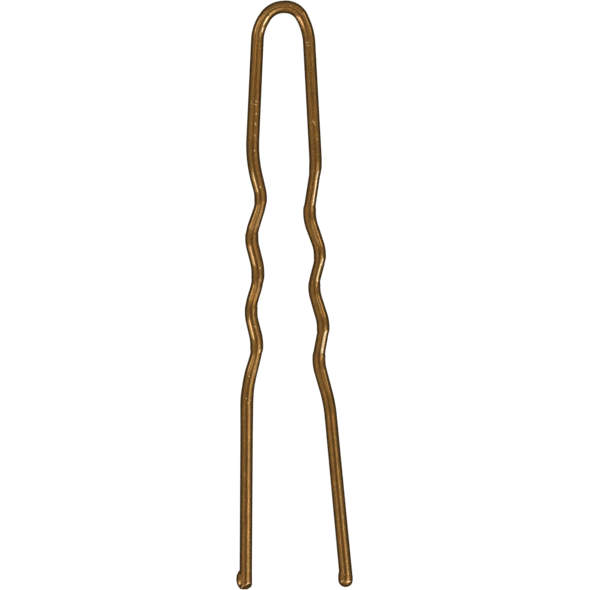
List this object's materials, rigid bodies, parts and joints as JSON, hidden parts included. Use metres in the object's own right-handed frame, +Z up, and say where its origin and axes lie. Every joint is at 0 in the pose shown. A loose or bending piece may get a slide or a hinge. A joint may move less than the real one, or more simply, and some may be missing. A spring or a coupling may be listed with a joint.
{
  "type": "french hair pin",
  "caption": "U-shaped hair pin of round lacquered wire, with a crimped wave in its legs and rounded lacquer drops over the cut ends.",
  "frame": {"origin": "on the surface that the pin lies on, under the middle of the pin's box", "axes": "the pin lies flat in the XY plane: +Y from the tips towards the bow, +X from the leg with the larger drop towards the other, +Z up out of the surface"},
  "size_m": [0.0152, 0.076, 0.0021],
  "materials": {
    "wire_lacquer": "satin metallic bronze lacquer on steel wire, with small nibs",
    "tip_lacquer": "glossier drop of the same bronze lacquer, run and slightly uneven"
  },
  "bodies": {
    "root": {"wire": "wire_lacquer", "tip_left": "tip_lacquer", "tip_right": "tip_lacquer"}
  },
  "joints": []
}
